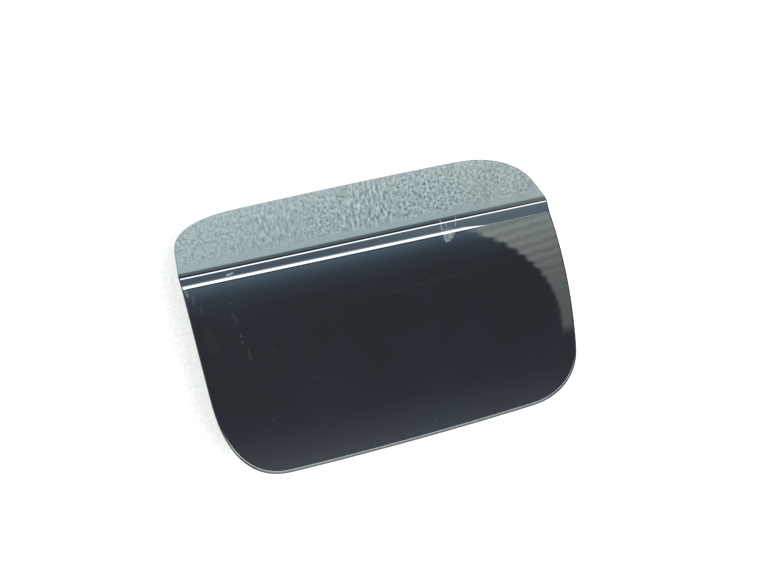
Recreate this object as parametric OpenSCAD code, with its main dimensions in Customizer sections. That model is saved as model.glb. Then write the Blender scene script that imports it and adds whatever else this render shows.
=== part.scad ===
// Car fuel door: a hemmed steel skin on a pressed inner panel, with its sprung hinge and lock tongue.
// It lies face up. X runs along the crease, Y from the front edge to the rear strip, Z up.
// The hinge is on the right, its pin runs along Y, and the left side lifts.

/* [Door outline] */
// Width between the two rear corner points, before they are rounded
rear_w = 189; // [175:1:205]
// Depth between the front and the rear line, half way across
door_d = 148.5; // [140:0.5:160]
// Angle at which both sides lean in towards the front
side_lean = 5; // [2:0.5:7]
// Slope of the front edge, rising to the right
front_slope = 2.1; // [0:0.1:3]
// Slope of the rear edge, rising to the right
rear_slope = 0.7; // [0:0.1:2]
// Outward bow of the right side
right_bow = 9; // [4:0.5:11]
// Outward bow of the front and rear edges
end_bow = 1.8; // [0:0.1:3]
// Reach of the front left corner along the left side and the front
front_left_corner = [44, 29]; // [24:1:50]
// Reach of the front right corner along the front and the right side
front_right_corner = [25, 25]; // [22:1:45]
// Reach of the rear right corner along the right side and the rear
rear_right_corner = [32, 33]; // [24:1:45]
// Reach of the rear left corner along the rear and the left side
rear_left_corner = [38, 28]; // [24:1:45]

/* [Face and crease] */
// Distance of the crease behind the middle of the door
crease_back = 28.5; // [24:0.5:32]
// Angle at which the rear strip falls away
strip_tilt = 27.5; // [25:0.5:29]
// Rise of the flank in front of the crease
flank_h = 2.3; // [2.2:0.1:2.8]
// Angle of the flank
flank_tilt = 19; // [17:1:20]
// Radius of the crease
crease_r = 6; // [5:0.1:6.5]
// Radius of the hollow at the foot of the flank
foot_r = 11; // [8:0.5:12]
// Radius of the slight crown of the face and the strip
crown_r = 2500; // [2000:100:6000]

/* [Sheet metal] */
// Thickness of the outer skin
skin_t = 0.7; // [0.6:0.05:0.8]
// Thickness of the inner panel
inner_t = 0.6; // [0.5:0.05:0.7]
// Width of the folded hem
hem_w = 8; // [6.5:0.5:8.5]
// Depth of the inner panel's pan below the face, at the crease
pan_depth = 6.3; // [5.8:0.1:6.8]
// Radius of the lightening holes in the inner panel
light_hole_r = 8.5; // [6:0.5:9]

/* [Hinge] */
// Distance of the pivot from the right edge
pivot_inset = 20; // [19:0.5:22]
// Depth of the pivot below the face
pivot_depth = 13.2; // [13:0.1:14]
// Height of the pivot above the base's mounting face
pivot_h = 11.4; // [11.1:0.1:14.5]
// Place of the hinge's middle behind the middle of the door
hinge_back = -6; // [-10:0.5:-4]
// Radius of the hinge pin
pin_r = 2; // [1.8:0.1:2.2]
// Radius of the arm's knuckles
knuckle_r = 5.5; // [5.2:0.1:5.6]
// Width of each knuckle
knuckle_w = 10; // [8:0.5:12]
// Gap between the knuckles, where the spring sits
spring_gap = 17.4; // [16:0.2:20]
// Width of each ear of the base
ear_w = 5; // [4:0.5:6]
// Thickness of the hinge arm's plate
arm_t = 2; // [1.8:0.1:2.2]
// Thickness of the hinge base's floor
base_t = 2.5; // [2.2:0.1:2.7]
// Distance between the base's two screw holes
base_hole_gap = 26; // [24:1:28]
// Inner radius of the sleeves in the base's screw holes
sleeve_hole_r = 2.75; // [2.2:0.05:3.2]
// Number of turns of the torsion spring
spring_turns = 5; // [3:1:6]
// Radius of the spring's wire
spring_wire_r = 0.6; // [0.5:0.05:0.65]

/* [Lock tongue] */
// Distance of the lock tongue from the left edge
tongue_inset = 17; // [16:0.5:20]
// Radius of the eye that the lock's pin enters
eye_r = 3.25; // [2.5:0.05:3.5]
// Radius of the tongue's round end
tongue_end_r = 7; // [6.5:0.1:7.5]

/* [Buffers and cap holder] */
// Radius of the rubber buffers
buffer_r = 6; // [4.5:0.5:7]
// Inner radius of the cap holder's cradle
cradle_r = 15; // [12:0.5:16]
// Height of the cradle's wall
cradle_h = 9; // [6:0.5:10]

/* [Hidden] */
$fn = 48;
gap = 0.05;
run_gap = 0.3;
corner_shape = 2.6;
bow_reach = 60;
corner_steps = 16;
edge_steps = 8;
side_steps = corner_steps + edge_steps;
half_corner = corner_steps / 2;

// Outline: four corner points, each with its reach along the edge before and after it
lean_tan = tan(side_lean);
slope_tan = tan(front_slope);
rear_rise = rear_w / 2 * tan(rear_slope);
left_fall = door_d - rear_rise;
right_fall = door_d + rear_rise;
front_left_x = (-rear_w / 2 + left_fall * lean_tan) / (1 + slope_tan * lean_tan);
front_right_x = (rear_w / 2 - right_fall * lean_tan) / (1 - slope_tan * lean_tan);
CORNERS = [
    [front_left_x, -door_d / 2 + front_left_x * slope_tan],
    [front_right_x, -door_d / 2 + front_right_x * slope_tan],
    [rear_w / 2, door_d / 2 + rear_rise],
    [-rear_w / 2, door_d / 2 - rear_rise]
];
REACHES = [front_left_corner, front_right_corner, rear_right_corner, rear_left_corner];
BOWS = [end_bow, right_bow, end_bow, 0];

function unit(v) = v / norm(v);
function mix(a, b, f) = a * (1 - f) + b * f;
function corner(i) = CORNERS[(i + 4) % 4];
function corner_point(i, angle) =
    let (to_last = unit(corner(i - 1) - corner(i)), to_next = unit(corner(i + 1) - corner(i)))
    corner(i) + to_last * REACHES[i][0] * (1 - pow(sin(angle), 2 / corner_shape))
              + to_next * REACHES[i][1] * (1 - pow(cos(angle), 2 / corner_shape));
function edge_point(i, f) = mix(corner_point(i, 90), corner_point((i + 1) % 4, 0), f);

// Push that the bow of edge i gives a point: greatest in the middle, none at a distance
function bow_push(p, i) =
    let (start = corner(i), along = unit(corner(i + 1) - start), out = [along.y, -along.x])
    let (f = (p - start) * along / norm(corner(i + 1) - start), away = -((p - start) * out))
    let (share = max(0, min(1, f)), fade = max(0, min(1, 1 - away / bow_reach)))
    out * BOWS[i] * 4 * share * (1 - share) * fade * fade;
function bowed(p) = p + bow_push(p, 0) + bow_push(p, 1) + bow_push(p, 2) + bow_push(p, 3);

RAW_OUTLINE = [
    for (i = [0:3]) each [
        for (k = [0:corner_steps]) bowed(corner_point(i, 90 * k / corner_steps)),
        for (k = [1:edge_steps - 1]) bowed(edge_point(i, k / edge_steps))
    ]
];
outline_min = [min([for (p = RAW_OUTLINE) p.x]), min([for (p = RAW_OUTLINE) p.y])];
outline_max = [max([for (p = RAW_OUTLINE) p.x]), max([for (p = RAW_OUTLINE) p.y])];
outline_mid = (outline_min + outline_max) / 2;
OUTLINE = [for (p = RAW_OUTLINE) p - outline_mid];
outline_n = len(OUTLINE);
right_x = outline_max.x - outline_mid.x;
left_x = -right_x;
rear_y = outline_max.y - outline_mid.y;
crease_y = crease_back - outline_mid.y;
hinge_y = hinge_back - outline_mid.y;

// Outline moved inwards by a distance, along its own normals
function outward(loop, k) =
    let (n = len(loop), t = unit(loop[(k + 1) % n] - loop[(k + n - 1) % n])) [t.y, -t.x];
function inset_outline(d) = [for (k = [0:outline_n - 1]) OUTLINE[k] - outward(OUTLINE, k) * d];

// Section of the face, from the crease's sharp point: strip, crease arc, flank, foot arc, face
turn = strip_tilt + flank_tilt;
crease_tangent = crease_r * tan(turn / 2);
foot_tangent = foot_r * tan(flank_tilt / 2);
foot_y = -flank_h / tan(flank_tilt);
strip_start = [crease_tangent * cos(strip_tilt), -crease_tangent * sin(strip_tilt)];
flank_top = [-crease_tangent * cos(flank_tilt), -crease_tangent * sin(flank_tilt)];
crease_centre = strip_start - crease_r * [sin(strip_tilt), cos(strip_tilt)];
flank_foot = [foot_y + foot_tangent * cos(flank_tilt), -flank_h + foot_tangent * sin(flank_tilt)];
face_end = [foot_y - foot_tangent, -flank_h];

function section_z(y) =
    y > strip_start[0] ? -tan(strip_tilt) * y - pow(y - strip_start[0], 2) / (2 * crown_r)
    : y > flank_top[0] ? crease_centre[1] + sqrt(pow(crease_r, 2) - pow(y - crease_centre[0], 2))
    : y > flank_foot[0] ? tan(flank_tilt) * y
    : y > face_end[0] ? face_end[1] + foot_r - sqrt(pow(foot_r, 2) - pow(y - face_end[0], 2))
    : -flank_h - pow(y - face_end[0], 2) / (2 * crown_r);
function section_slope(y) = (section_z(y + 0.01) - section_z(y - 0.01)) / 0.02;

// The base's mounting face is at Z = 0, and the rear hem comes down to about the same height
hem_t = 2 * skin_t + inner_t + 2 * gap;
hem_r = hem_t / 2;
face_z = pivot_h + pivot_depth;
crease_z = face_z + flank_h;

function top_z(y) = crease_z + section_z(y - crease_y);
function top_normal(y) = unit([0, -section_slope(y - crease_y), 1]);
// Point at a depth below the outer face, measured square to it
function below(p, depth) = [p.x, p.y, top_z(p.y)] - depth * top_normal(p.y);

// Grid over the outline: the rows at the crease are straight, and the others blend to the ends
face_rows = 9;
strip_rows = 6;
foot_rows = 4;
ridge_rows = 8;
crease_band = 1;
CREASE_ROWS = [
    for (k = [0:foot_rows]) mix(face_end[0], flank_foot[0], k / foot_rows),
    for (k = [0:ridge_rows]) crease_centre[0] - crease_r * sin(flank_tilt - turn * k / ridge_rows)
];
band_front = face_end[0] - crease_band;
band_rear = strip_start[0] + crease_band;

function side_table(loop, first, step) = [for (k = [0:side_steps]) loop[(first + step * k) % len(loop)]];
// X of a side at a given Y, from its points in order of rising Y
function side_x(points, y) = lookup(y, [for (p = points) [p.y, p.x]]);
// Patch between a curved end row and a straight row, both with the same number of points
function patch(end_row, band_y, lefts, rights, v, k) =
    let (u = k / side_steps)
    let (e0 = end_row[0], e1 = end_row[side_steps])
    let (x0 = side_x(lefts, band_y), x1 = side_x(rights, band_y))
    let (band = [mix(x0, x1, u), band_y])
    let (y0 = mix(e0.y, band_y, v), y1 = mix(e1.y, band_y, v))
    let (edge0 = [side_x(lefts, y0), y0], edge1 = [side_x(rights, y1), y1])
    mix(end_row[k], band, v) + mix(edge0, edge1, u)
        - mix(mix(e0, [x0, band_y], v), mix(e1, [x1, band_y], v), u);
function grid(inset) =
    let (loop = inset_outline(inset))
    let (front = side_table(loop, half_corner, 1))
    let (rights = side_table(loop, half_corner + side_steps, 1))
    let (rear = side_table(loop, half_corner + 3 * side_steps, outline_n - 1))
    let (lefts = side_table(loop, half_corner, outline_n - 1))
    [
        for (i = [0:face_rows - 1]) [
            for (k = [0:side_steps])
                patch(front, crease_y + band_front, lefts, rights, pow(i / face_rows, 1.4), k)
        ],
        for (y = [band_front, each CREASE_ROWS, band_rear]) [
            for (k = [0:side_steps])
                [mix(side_x(lefts, crease_y + y), side_x(rights, crease_y + y), k / side_steps), crease_y + y]
        ],
        for (i = [strip_rows - 1:-1:0]) [
            for (k = [0:side_steps])
                patch(rear, crease_y + band_rear, lefts, rights, pow(i / strip_rows, 1.4), k)
        ]
    ];
// Indices of the grid's edge, counter-clockwise from its front left point
function rim(rows, cols) = [
    for (k = [0:cols - 1]) k,
    for (i = [0:rows - 1]) i * (cols + 1) + cols,
    for (k = [cols:-1:1]) rows * (cols + 1) + k,
    for (i = [rows:-1:1]) i * (cols + 1)
];
function flat_list(rows) = [for (row = rows) each row];
function grid_faces(rows, cols, offset, up) = [
    for (i = [0:rows - 1]) for (k = [0:cols - 1])
        let (a = offset + i * (cols + 1) + k, b = a + 1, c = b + cols + 1, d = a + cols + 1)
        each up ? [[a, c, b], [a, d, c]] : [[a, b, c], [a, c, d]]
];
function ring_faces(inner, outer, up) = [
    let (n = len(inner))
    for (k = [0:n - 1])
        let (j = (k + 1) % n)
        each up ? [[inner[k], inner[j], outer[j]], [inner[k], outer[j], outer[k]]]
                : [[inner[j], inner[k], outer[k]], [inner[j], outer[k], outer[j]]]
];
function count_up(n, offset) = [for (k = [0:n - 1]) offset + k];

// Closed sheet from a grid and the rings round it, on the upper and on the lower side
module sheet(upper_grid, upper_rings, lower_grid, lower_rings) {
    rows = len(upper_grid) - 1;
    cols = len(upper_grid[0]) - 1;
    edge = rim(rows, cols);
    edge_n = len(edge);
    rings = len(upper_rings);
    grid_n = (rows + 1) * (cols + 1);
    side_n = grid_n + rings * edge_n;
    points = concat(flat_list(upper_grid), flat_list(upper_rings), flat_list(lower_grid), flat_list(lower_rings));
    upper = [edge, for (r = [0:rings - 1]) count_up(edge_n, grid_n + r * edge_n)];
    lower = [for (ring = upper) [for (k = ring) k + side_n]];
    polyhedron(points, concat(
        grid_faces(rows, cols, 0, true),
        grid_faces(rows, cols, side_n, false),
        [for (r = [1:rings]) each ring_faces(upper[r - 1], upper[r], true)],
        [for (r = [1:rings]) each ring_faces(lower[r - 1], lower[r], false)],
        ring_faces(upper[rings], lower[rings], true)
    ));
}

function depth_grid(plan, depth) = [for (row = plan) [for (p = row) below(p, depth)]];
function rim_loop(plan) =
    let (points = flat_list(plan)) [for (k = rim(len(plan) - 1, len(plan[0]) - 1)) points[k]];
function moved_out(loop, k, d) = loop[k] + outward(loop, k) * d;

// Outer skin: the hem is a half turn of the given radius about the edge, then a flat flange
fold_steps = 5;
function fold_point(loop, k, radius, angle) =
    let (p = loop[k], out = outward(loop, k), normal = top_normal(p.y))
    let (flat = [out.x, out.y, 0], side = unit(flat - (flat * normal) * normal))
    below(p, hem_r) + radius * (cos(angle) * normal + sin(angle) * side);
function fold_rings(loop, radius) = [
    for (s = [1:fold_steps]) [for (k = [0:len(loop) - 1]) fold_point(loop, k, radius, 180 * s / fold_steps)]
];
function flange_ring(loop, depth) = [for (k = [0:len(loop) - 1]) below(moved_out(loop, k, -hem_w), depth)];

module outer_skin() {
    plan = grid(hem_r);
    loop = rim_loop(plan);
    color([0.05, 0.055, 0.065])
        sheet(
            depth_grid(plan, 0),
            concat(fold_rings(loop, hem_r), [flange_ring(loop, hem_t)]),
            depth_grid(plan, skin_t),
            concat(fold_rings(loop, hem_r - skin_t), [flange_ring(loop, hem_t - skin_t)])
        );
}

// Inner panel: a flange inside the hem, a drafted wall, and a pan with a flat floor and a tilted floor
inner_edge = hem_r + gap;
flange_depth = skin_t + gap;
pan_inset = hem_r + hem_w + 5;
pan_top = face_z - pan_depth;
pan_bottom = pan_top - inner_t;
pan_blend = 1.5;
strip_pan_depth = pan_depth - 1;
function pan_z(y) =
    let (over = top_z(y) - strip_pan_depth / cos(strip_tilt) - pan_top)
    y < crease_y ? pan_top : pan_top + min(0, (over - sqrt(over * over + pan_blend * pan_blend)) / 2);
function wall_point(loop, k, inset, depth, drop, share) =
    let (p = moved_out(loop, k, pan_inset - inset))
    mix(below(p, depth), [p.x, p.y, pan_z(p.y) - drop], share);
function pan_rings(loop, depth, drop, shift) = [
    for (step = [[pan_inset - 1.2, 0.92], [pan_inset - 3, 0.12], [pan_inset - 3.7, 0], [inner_edge + shift, 0]])
        [for (k = [0:len(loop) - 1]) wall_point(loop, k, step[0] - shift, depth, drop, step[1])]
];
// Lightening holes: a row behind the cradle, a row in front of it, and a row in the strip
front_y = -rear_y;
cradle_front = 54;
cradle_share = 0.683;
arm_len = 46;
CRADLE = [mix(left_x, right_x - pivot_inset - arm_len, cradle_share), front_y + cradle_front];
hole_step = 0.127 * rear_w;
strip_hole_side = rear_w / 4;
strip_holes = 5;
LIGHT_HOLES = concat(
    [for (k = [-1:1]) CRADLE + [k * hole_step, 30]],
    [for (k = [-1:2]) CRADLE + [k * hole_step, -28]],
    [for (k = [0:strip_holes - 1])
        [mix(left_x + strip_hole_side, right_x - strip_hole_side, k / (strip_holes - 1)),
            mix(crease_y, rear_y - pan_inset, 0.6)]]
);

module round_hole(place, radius, low, high) {
    translate([place.x, place.y, low])
        cylinder(r = radius, h = high - low);
}

module inner_panel() {
    plan = grid(pan_inset);
    loop = rim_loop(plan);
    color([0.16, 0.17, 0.18])
        difference() {
            sheet(
                [for (row = plan) [for (p = row) [p.x, p.y, pan_z(p.y)]]],
                pan_rings(loop, flange_depth, 0, 0),
                [for (row = plan) [for (p = row) [p.x, p.y, pan_z(p.y) - inner_t]]],
                pan_rings(loop, flange_depth + inner_t, inner_t, inner_t * 0.8)
            );
            for (place = LIGHT_HOLES)
                round_hole(place, light_hole_r, -1, face_z);
            for (place = ARM_SCREWS)
                round_hole(place, screw_hole_r, 0, face_z);
            for (place = STRIKER_RIVETS)
                round_hole(place, rivet_r + gap, 0, face_z);
            for (place = HOLDER_RIVETS)
                round_hole(place, rivet_r + gap, 0, face_z);
            for (place = [BUFFER_FRONT, BUFFER_REAR])
                round_hole(place, buffer_stem_r + gap, 0, face_z);
        }
}

// Rubber buffers stand near the left corners
BUFFER_FRONT = [left_x + 37, front_y + 31];
BUFFER_REAR = [left_x + 28, crease_y - 11];

// Mastic drops between the pan and the skin
pad_r = 6;
PAD_PLACES = [BUFFER_FRONT + [0, 14], CRADLE + [-12, -7], CRADLE + [36, -6], CRADLE + [12, 43]];
module flutter_pad(place) {
    low = pan_top + gap;
    high = min(below([0, place.y - pad_r], skin_t).z, below([0, place.y + pad_r], skin_t).z) - 2 * gap;
    color([0.12, 0.12, 0.13])
        translate([place.x, place.y, low]) {
            cylinder(r = pad_r, h = (high - low) * 0.6);
            translate([0, 0, (high - low) * 0.6])
                cylinder(r = pad_r * 0.8, h = (high - low) * 0.4);
        }
}
module flutter_pad_1() { flutter_pad(PAD_PLACES[0]); }
module flutter_pad_2() { flutter_pad(PAD_PLACES[1]); }
module flutter_pad_3() { flutter_pad(PAD_PLACES[2]); }
module flutter_pad_4() { flutter_pad(PAD_PLACES[3]); }

// Hinge: places along the pin are measured from the hinge's middle
pivot_x = right_x - pivot_inset;
pivot_z = pivot_h;
knuckle_start = spring_gap / 2;
knuckle_end = knuckle_start + knuckle_w;
ear_start = knuckle_end + run_gap;
ear_end = ear_start + ear_w;
bush_r = pin_r + 1;
bush_bore_r = pin_r + 0.05;
arm_top = pan_bottom - gap;
arm_low = arm_top - arm_t;
arm_chamfer = 5;
arm_tip_side = 6;
lip_start = 1.4;
rib_w = 3;
rib_drop = 2;
arm_screw_back = arm_len - 8;
arm_screw_gap = 18;
screw_r = 2.5;
screw_hole_r = screw_r + 0.25;
lip_len = 7.5;
gusset_t = 3;
gusset_len = 24;
ARM_SCREWS = [for (s = [-1, 1]) [pivot_x - arm_screw_back, hinge_y + s * arm_screw_gap / 2]];

// Turns XZ drawings into solids along the pin, from one place to another
module along_pin(from, to) {
    translate([pivot_x, hinge_y + to, pivot_z])
        rotate([90, 0, 0])
            linear_extrude(to - from)
                children();
}
module pin_rod(radius, from, to) {
    along_pin(from, to)
        circle(r = radius);
}

module arm_plate() {
    half = knuckle_end;
    tip = arm_screw_gap / 2 + arm_tip_side;
    translate([pivot_x, hinge_y, arm_low])
        linear_extrude(arm_t)
            polygon([
                [-arm_len + arm_chamfer, -tip], [-gusset_len, -half], [lip_len, -half],
                [lip_len, -knuckle_start], [-lip_start, -knuckle_start], [-lip_start, knuckle_start],
                [lip_len, knuckle_start], [lip_len, half], [-gusset_len, half], [-arm_len + arm_chamfer, tip],
                [-arm_len, tip - arm_chamfer], [-arm_len, -tip + arm_chamfer]
            ]);
}
module gusset() {
    low = arm_low - pivot_z;
    polygon([[-gusset_len, low], [-gusset_len, low - 1], [-4, -knuckle_r * 0.6], [0, 0], [0, low]]);
}
module hinge_arm() {
    color([0.10, 0.10, 0.11])
        difference() {
            union() {
                arm_plate();
                for (s = [-1, 1]) {
                    from = s > 0 ? knuckle_start : -knuckle_end;
                    pin_rod(knuckle_r, from, from + knuckle_w);
                    along_pin(from, from + knuckle_w)
                        translate([-knuckle_r, 0])
                            square([knuckle_r, arm_low - pivot_z + arm_t / 2]);
                    rib_from = s > 0 ? knuckle_end - gusset_t : -knuckle_end;
                    along_pin(rib_from, rib_from + gusset_t)
                        gusset();
                }
                translate([pivot_x - arm_len + 1, hinge_y - rib_w / 2, arm_low - rib_drop])
                    cube([arm_len - knuckle_r - rib_w, rib_w, rib_drop]);
            }
            for (s = [-1, 1])
                pin_rod(bush_r + gap / 2, s > 0 ? knuckle_start - 1 : -knuckle_end - 1,
                    s > 0 ? knuckle_end + 1 : -knuckle_start + 1);
            for (place = ARM_SCREWS)
                round_hole(place, screw_hole_r, arm_low - 1, arm_top + 1);
            round_hole([pivot_x - spring_r, hinge_y + spring_half], spring_wire_r + 0.2, arm_low - 1, arm_top + 1);
        }
}

module bush(from) {
    color([0.85, 0.84, 0.78])
        difference() {
            pin_rod(bush_r, from, from + knuckle_w);
            pin_rod(bush_bore_r, from - 1, from + knuckle_w + 1);
        }
}
module bush_front() { bush(-knuckle_end); }
module bush_rear() { bush(knuckle_start); }

screw_head_r = 4.4;
screw_head_h = 2.4;
nut_h = 3.2;
nut_r = 4.6;
module arm_screws() {
    color([0.72, 0.73, 0.75])
        for (place = ARM_SCREWS) {
            translate([place.x, place.y, arm_low - screw_head_h])
                difference() {
                    cylinder(r = screw_head_r, h = screw_head_h);
                    translate([0, 0, -1])
                        cylinder(r = 2.2, h = 2.2, $fn = 6);
                }
            translate([place.x, place.y, arm_low - 0.5])
                cylinder(r = screw_r, h = pan_top + nut_h - 0.3 - arm_low + 0.5);
        }
}
module weld_nuts() {
    color([0.72, 0.73, 0.75])
        for (place = ARM_SCREWS)
            translate([place.x, place.y, pan_top + gap])
                difference() {
                    cylinder(r = nut_r, h = nut_h, $fn = 6);
                    translate([0, 0, -1])
                        cylinder(r = screw_r + gap, h = nut_h + 2);
                }
}

// Hinge base: floor with two screw bosses, two ears, low ribs and the stop blocks under the knuckles
base_back = 34;
base_front = 3.2;
base_hole_back = 26;
base_chamfer = 5;
side_rib_len = 12;
boss_r = 6.2;
boss_h = 6;
sleeve_r = sleeve_hole_r + 1.5;
rib_t = 1.8;
rib_h = 5;
stop_x = 1.3;
stop_top = -knuckle_r - 0.45;
stop_pad_t = 2;
BASE_HOLES = [for (s = [-1, 1]) [pivot_x - base_hole_back, hinge_y + s * base_hole_gap / 2]];

// Point where a line from p touches the circle of radius r about the pin
function touch_point(p, r, side) =
    let (a = atan2(p.y, p.x) + side * acos(r / norm(p))) r * [cos(a), sin(a)];
module ear_shape() {
    floor_z = base_t - 0.5 - pivot_z;
    left = [-20, floor_z];
    right = [base_front, floor_z];
    circle(r = knuckle_r);
    polygon([left, right, touch_point(right, knuckle_r, 1), [0, 0], touch_point(left, knuckle_r, -1)]);
}
module base_floor() {
    translate([pivot_x, hinge_y, 0])
        linear_extrude(base_t)
            polygon([
                [-base_back + base_chamfer, -ear_end], [base_front, -ear_end], [base_front, ear_end],
                [-base_back + base_chamfer, ear_end], [-base_back, ear_end - base_chamfer],
                [-base_back, -ear_end + base_chamfer]
            ]);
}
module base_rib(place, size) {
    translate([pivot_x + place.x, hinge_y + place.y - rib_t / 2, base_t - 0.2])
        cube([size, rib_t, rib_h - base_t + 0.2]);
}
module hinge_base() {
    color([0.09, 0.09, 0.10])
        difference() {
            union() {
                base_floor();
                for (s = [-1, 1]) {
                    along_pin(s > 0 ? ear_start : -ear_end, s > 0 ? ear_end : -ear_start)
                        ear_shape();
                    base_rib([-base_back + base_chamfer + 1, s * (ear_end - ear_w / 2)], side_rib_len);
                    along_pin(s > 0 ? knuckle_start + 0.5 : -knuckle_end + 0.5,
                        s > 0 ? knuckle_end - 0.5 : -knuckle_start - 0.5)
                        translate([-stop_x * 2, base_t - 0.5 - pivot_z])
                            square([stop_x * 3, stop_top - base_t + 0.5 + pivot_z]);
                }
                base_rib([-base_back + 1, 0], base_back - side_rib_len);
                for (place = BASE_HOLES)
                    round_hole(place, boss_r, 0, boss_h);
            }
            for (place = BASE_HOLES)
                round_hole(place, sleeve_r + gap / 2, -1, boss_h + 1);
            pin_rod(pin_r + gap / 2, -ear_end - 1, ear_end + 1);
            round_hole([pivot_x - spring_r, hinge_y - spring_half], spring_wire_r + 0.2, -1, base_t + 1);
        }
}

module sleeve(place) {
    color([0.72, 0.73, 0.75])
        difference() {
            round_hole(place, sleeve_r, 0, boss_h);
            round_hole(place, sleeve_hole_r, -1, boss_h + 1);
        }
}
module sleeve_front() { sleeve(BASE_HOLES[0]); }
module sleeve_rear() { sleeve(BASE_HOLES[1]); }

module stop_pad(from) {
    color([0.06, 0.06, 0.06])
        along_pin(from + 0.5, from + knuckle_w - 0.5)
            translate([stop_x + gap / 2, base_t + gap / 2 - pivot_z])
                square([stop_pad_t, stop_top - base_t - gap / 2 + pivot_z]);
}
module stop_pad_front() { stop_pad(-knuckle_end); }
module stop_pad_rear() { stop_pad(knuckle_start); }

// Pin with a head at its front end and a groove for the clip at its rear end
pin_head_r = 3.5;
pin_head_h = 1.6;
groove_depth = 0.5;
clip_t = 0.6;
clip_start = ear_end + 0.3;
module hinge_pin() {
    color([0.75, 0.76, 0.78])
        union() {
            pin_rod(pin_head_r, -ear_end - gap - pin_head_h, -ear_end - gap);
            pin_rod(pin_r, -ear_end - gap - 0.5, clip_start);
            pin_rod(pin_r - groove_depth, clip_start - 0.1, clip_start + clip_t + 0.2);
            pin_rod(pin_r, clip_start + clip_t + 0.1, clip_start + clip_t + 1.3);
        }
}
module pin_clip() {
    color([0.55, 0.56, 0.58])
        along_pin(clip_start + gap, clip_start + clip_t)
            difference() {
                circle(r = pin_r + 2);
                circle(r = pin_r - groove_depth + gap);
                translate([-pin_r * 0.6, -pin_r * 2 - 1])
                    square([pin_r * 1.2, pin_r * 2 + 1]);
            }
}

// Torsion spring: a wire swept up from the base's hole, round the pin, and up into the arm's hole
spring_r = pin_r + 1.2;
spring_half = 7;
wire_sides = 8;
turn_steps = 16;
leg_low = 0.8;
leg_high = arm_top - 0.6;
coil_n = spring_turns * turn_steps;
SPRING_PATH = [
    [-spring_r, -spring_half, leg_low - pivot_z],
    [-spring_r, -spring_half, -1.5],
    for (k = [0:coil_n])
        [spring_r * cos(180 - 360 * k / turn_steps), mix(-spring_half, spring_half, k / coil_n),
            spring_r * sin(180 - 360 * k / turn_steps)],
    [-spring_r, spring_half, 1.5],
    [-spring_r, spring_half, leg_high - pivot_z]
];
function path_dir(path, k) = unit(path[min(k + 1, len(path) - 1)] - path[max(k - 1, 0)]);
// Ring of points square to the path; the pin's direction keeps the rings from twisting
function wire_ring(path, k, r) =
    let (along = path_dir(path, k), side = unit(cross(along, [0, 1, 0])), other = cross(along, side))
    [for (s = [0:wire_sides - 1])
        path[k] + r * (cos(360 * s / wire_sides) * side + sin(360 * s / wire_sides) * other)];
module swept_wire(path, r) {
    n = len(path);
    points = [for (k = [0:n - 1]) each wire_ring(path, k, r)];
    polyhedron(points, concat(
        [count_up(wire_sides, 0)],
        [for (k = [0:n - 2]) for (s = [0:wire_sides - 1])
            let (a = k * wire_sides + s, b = k * wire_sides + (s + 1) % wire_sides)
            each [[a, a + wire_sides, b + wire_sides], [a, b + wire_sides, b]]],
        [[for (s = [wire_sides - 1:-1:0]) (n - 1) * wire_sides + s]]
    ));
}
module torsion_spring() {
    color([0.42, 0.43, 0.45])
        translate([pivot_x, hinge_y, pivot_z])
            swept_wire(SPRING_PATH, spring_wire_r);
}

// Lock tongue: a bent strap whose plate is riveted under the pan and whose round end holds the eye
strap_t = 2;
bend_r = 1.5;
strap_w = 18;
strap_len = 22;
tongue_w = 2 * tongue_end_r;
rivet_r = 2;
rivet_head_r = 3.4;
rivet_head_h = 1.2;
side_at_hinge = side_x([for (k = [0:side_steps]) OUTLINE[(half_corner + (outline_n - 1) * k) % outline_n]], hinge_y);
tongue_x = side_at_hinge + tongue_inset;
STRIKER_RIVETS = [for (s = [-1, 1]) [tongue_x + strap_len - 6, hinge_y + s * 5]];
module lock_striker() {
    bend = strap_t + bend_r;
    color([0.66, 0.66, 0.64])
        difference() {
            union() {
                translate([tongue_x + bend, hinge_y - strap_w / 2, arm_top - strap_t])
                    cube([strap_len - bend, strap_w, strap_t]);
                translate([tongue_x + bend, hinge_y + tongue_w / 2, arm_top - bend])
                    rotate([90, 0, 0])
                        linear_extrude(tongue_w)
                            intersection() {
                                difference() {
                                    circle(r = bend);
                                    circle(r = bend_r);
                                }
                                translate([-bend, 0])
                                    square(bend);
                            }
                translate([tongue_x, hinge_y - tongue_end_r, tongue_end_r])
                    cube([strap_t, tongue_w, arm_top - bend - tongue_end_r]);
                translate([tongue_x, hinge_y, tongue_end_r])
                    rotate([0, 90, 0])
                        cylinder(r = tongue_end_r, h = strap_t);
            }
            translate([tongue_x - 1, hinge_y, tongue_end_r])
                rotate([0, 90, 0])
                    cylinder(r = eye_r, h = strap_t + 2);
            for (place = STRIKER_RIVETS)
                round_hole(place, rivet_r + gap, arm_top - strap_t - 1, arm_top + 1);
        }
}
// Rivet through a plate of the given thickness and the pan
module rivet(place, plate_t) {
    low = arm_top - plate_t - gap / 2;
    high = pan_top + gap / 2;
    round_hole(place, rivet_r, low - 0.4, high + 0.4);
    round_hole(place, rivet_head_r, low - rivet_head_h, low);
    round_hole(place, rivet_head_r, high, high + rivet_head_h);
}
module striker_rivets() {
    color([0.7, 0.71, 0.73])
        for (place = STRIKER_RIVETS)
            rivet(place, strap_t);
}

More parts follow.
